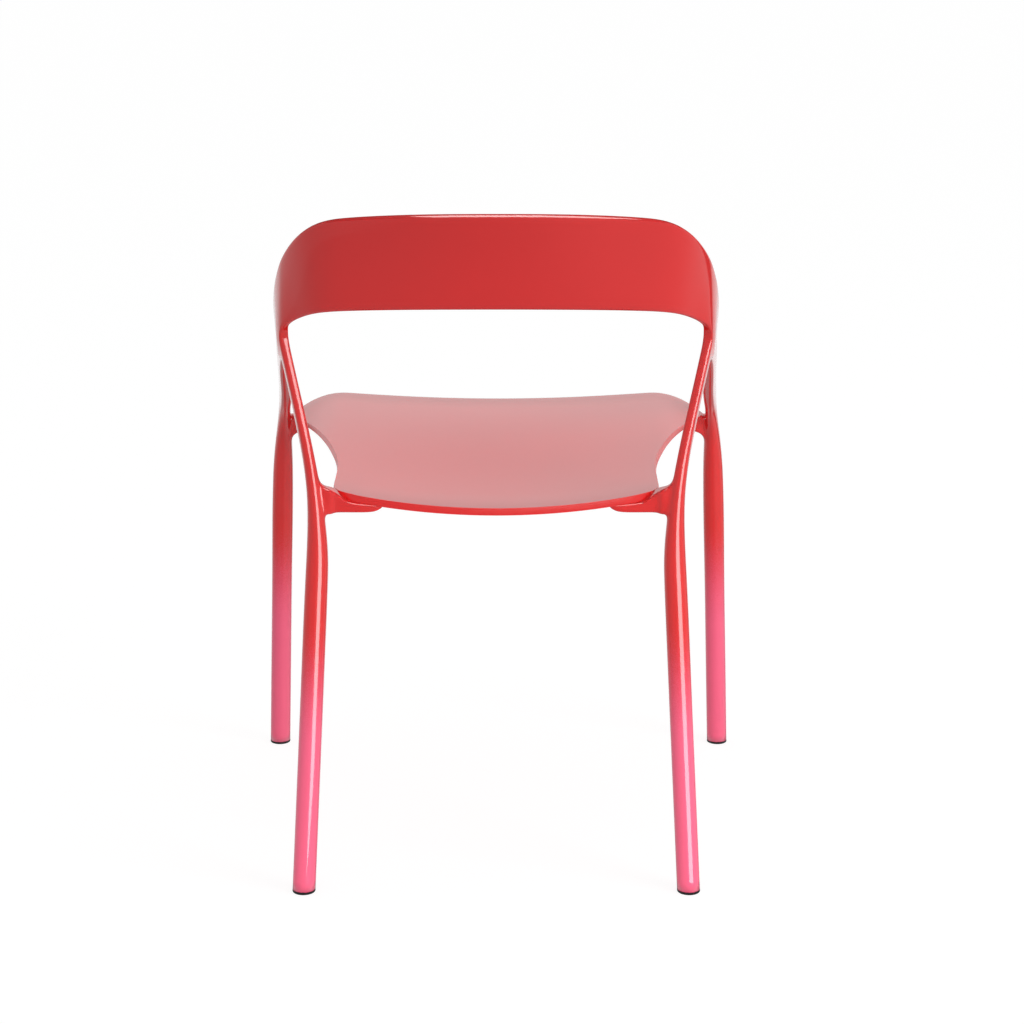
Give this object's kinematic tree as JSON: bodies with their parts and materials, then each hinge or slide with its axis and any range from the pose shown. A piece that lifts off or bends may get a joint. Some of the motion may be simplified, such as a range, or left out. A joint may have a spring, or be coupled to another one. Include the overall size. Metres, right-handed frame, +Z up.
{
  "type": "guest chair",
  "caption": "Moulded guest chair: wide wrap-round back band flowing into splayed round legs, thin waisted saddle seat, gloss red lacquer fading to pink at the feet, black glides.",
  "frame": {"origin": "on the floor, at the centre of the chair's bounding box, midway between the feet", "axes": "+Z up, -Y the way the sitter faces, +X to the sitter's left"},
  "size_m": [0.581, 0.4949, 0.7369],
  "materials": {
    "frame_lacquer": "gloss",
    "leg_lacquer": "gloss",
    "seat_lacquer": "gloss",
    "glide_black": "matte",
    "dowel_alloy": "satin",
    "screw_steel": "satin",
    "insert_brass": "satin"
  },
  "bodies": {
    "root": {"backrest_band": "frame_lacquer", "seat_shell": "seat_lacquer", "left_front_leg": "leg_lacquer", "right_front_leg": "leg_lacquer", "left_rear_leg": "leg_lacquer", "right_rear_leg": "leg_lacquer", "left_front_bracket": "frame_lacquer", "right_front_bracket": "frame_lacquer", "left_rear_bracket": "frame_lacquer", "right_rear_bracket": "frame_lacquer", "left_front_glide": "glide_black", "right_front_glide": "glide_black", "left_rear_glide": "glide_black", "right_rear_glide": "glide_black", "left_front_dowel": "dowel_alloy", "right_front_dowel": "dowel_alloy", "left_rear_dowel": "dowel_alloy", "right_rear_dowel": "dowel_alloy", "left_front_bracket_pin": "dowel_alloy", "right_front_bracket_pin": "dowel_alloy", "left_rear_bracket_pin": "dowel_alloy", "right_rear_bracket_pin": "dowel_alloy", "seat_screws": "screw_steel", "seat_inserts": "insert_brass"}
  },
  "joints": []
}
